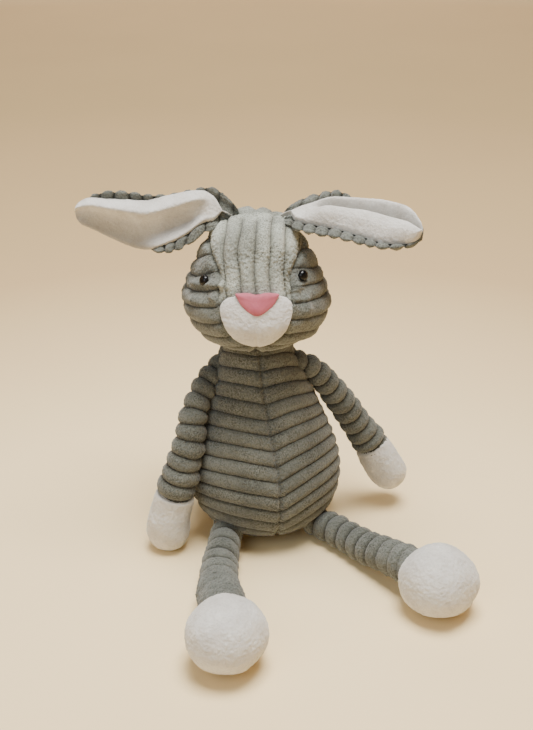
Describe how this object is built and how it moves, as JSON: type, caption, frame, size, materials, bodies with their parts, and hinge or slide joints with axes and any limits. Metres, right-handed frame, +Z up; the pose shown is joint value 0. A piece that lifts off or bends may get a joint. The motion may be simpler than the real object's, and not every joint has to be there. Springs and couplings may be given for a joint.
{
  "type": "plush rabbit",
  "caption": "Sitting stuffed rabbit in grey wide-wale corduroy with long lined ears, white fleece muzzle, hands and round feet, and limbs that swing.",
  "frame": {"origin": "centre of the flat seat that the toy sits on", "axes": "+Z up, the face looks along -Y, the toy's own left side is at +X"},
  "size_m": [0.2497, 0.241, 0.238],
  "materials": {
    "grey_corduroy": "wide-wale pile",
    "white_fleece": "short pile",
    "pink_satin": "satin",
    "black_bead": "gloss",
    "white_plastic": "matte",
    "polyester_fill": "loose fibre",
    "pellet_bag": "plain woven"
  },
  "bodies": {
    "torso": {"torso_front_left": "grey_corduroy", "torso_front_right": "grey_corduroy", "torso_back_left": "grey_corduroy", "torso_back_right": "grey_corduroy", "torso_seat_panel": "grey_corduroy", "torso_stuffing": "polyester_fill", "pellet_bag": "pellet_bag", "tail_cover": "white_fleece", "tail_stuffing": "polyester_fill"},
    "head": {"head_gusset": "grey_corduroy", "cheek_left": "grey_corduroy", "cheek_right": "grey_corduroy", "head_back_left": "grey_corduroy", "head_back_right": "grey_corduroy", "muzzle": "white_fleece", "nose": "pink_satin", "eye_left": "black_bead", "eye_right": "black_bead", "eye_washer_left": "white_plastic", "eye_washer_right": "white_plastic", "head_stuffing": "polyester_fill"},
    "ear_left": {"ear_back_left": "grey_corduroy", "ear_lining_left": "white_fleece"},
    "arm_left": {"arm_left_sleeve": "grey_corduroy", "arm_left_stuffing": "polyester_fill"},
    "hand_left": {"hand_cover_left": "white_fleece", "hand_stuffing_left": "polyester_fill"},
    "leg_left": {"leg_left_sleeve": "grey_corduroy", "leg_left_stuffing": "polyester_fill"},
    "foot_left": {"foot_cover_left": "white_fleece", "foot_stuffing_left": "polyester_fill"},
    "ear_right": {"ear_back_right": "grey_corduroy", "ear_lining_right": "white_fleece"},
    "arm_right": {"arm_right_sleeve": "grey_corduroy", "arm_right_stuffing": "polyester_fill"},
    "hand_right": {"hand_cover_right": "white_fleece", "hand_stuffing_right": "polyester_fill"},
    "leg_right": {"leg_right_sleeve": "grey_corduroy", "leg_right_stuffing": "polyester_fill"},
    "foot_right": {"foot_cover_right": "white_fleece", "foot_stuffing_right": "polyester_fill"}
  },
  "joints": [
    {"name": "neck_nod", "type": "hinge", "parent": "torso", "child": "head", "pos_m": [0, 0, 0.128], "axis": [1, 0, 0], "range_deg": [-20, 20]},
    {"name": "ear_left_flap", "type": "hinge", "parent": "head", "child": "ear_left", "pos_m": [0.02, -0.005, 0.2215], "axis": [-0.5026, -0.8645, 0], "range_deg": [-20, 60]},
    {"name": "ear_right_flap", "type": "hinge", "parent": "head", "child": "ear_right", "pos_m": [-0.026, -0.003, 0.221], "axis": [0, 1, 0], "range_deg": [-20, 60]},
    {"name": "shoulder_left_raise", "type": "hinge", "parent": "torso", "child": "arm_left", "pos_m": [0.0345, 0.0045, 0.1125], "axis": [-0.9848, -0.1736, 0], "range_deg": [-10, 80]},
    {"name": "shoulder_right_raise", "type": "hinge", "parent": "torso", "child": "arm_right", "pos_m": [-0.0345, -0.008, 0.1125], "axis": [-0.9397, -0.342, 0], "range_deg": [-6, 75]},
    {"name": "wrist_left_bend", "type": "hinge", "parent": "arm_left", "child": "hand_left", "pos_m": [0.0779, 0.018, 0.0392], "axis": [-1, 0, 0], "range_deg": [-25, 25]},
    {"name": "wrist_right_bend", "type": "hinge", "parent": "arm_right", "child": "hand_right", "pos_m": [-0.0595, -0.036, 0.0284], "axis": [-1, 0, 0], "range_deg": [-25, 25]},
    {"name": "hip_left_splay", "type": "hinge", "parent": "torso", "child": "leg_left", "pos_m": [0.035, -0.0225, 0.0105], "axis": [0, 0, 1], "range_deg": [-25, 15]},
    {"name": "hip_right_splay", "type": "hinge", "parent": "torso", "child": "leg_right", "pos_m": [-0.024, -0.034, 0.0105], "axis": [0, 0, -1], "range_deg": [-8, 40]},
    {"name": "ankle_left_tilt", "type": "hinge", "parent": "leg_left", "child": "foot_left", "pos_m": [0.1067, -0.102, 0.025], "axis": [0.7426, 0.6697, 0], "range_deg": [-25, 25]},
    {"name": "ankle_right_tilt", "type": "hinge", "parent": "leg_right", "child": "foot_right", "pos_m": [-0.021, -0.152, 0.025], "axis": [1, 0, 0], "range_deg": [-25, 25]}
  ]
}
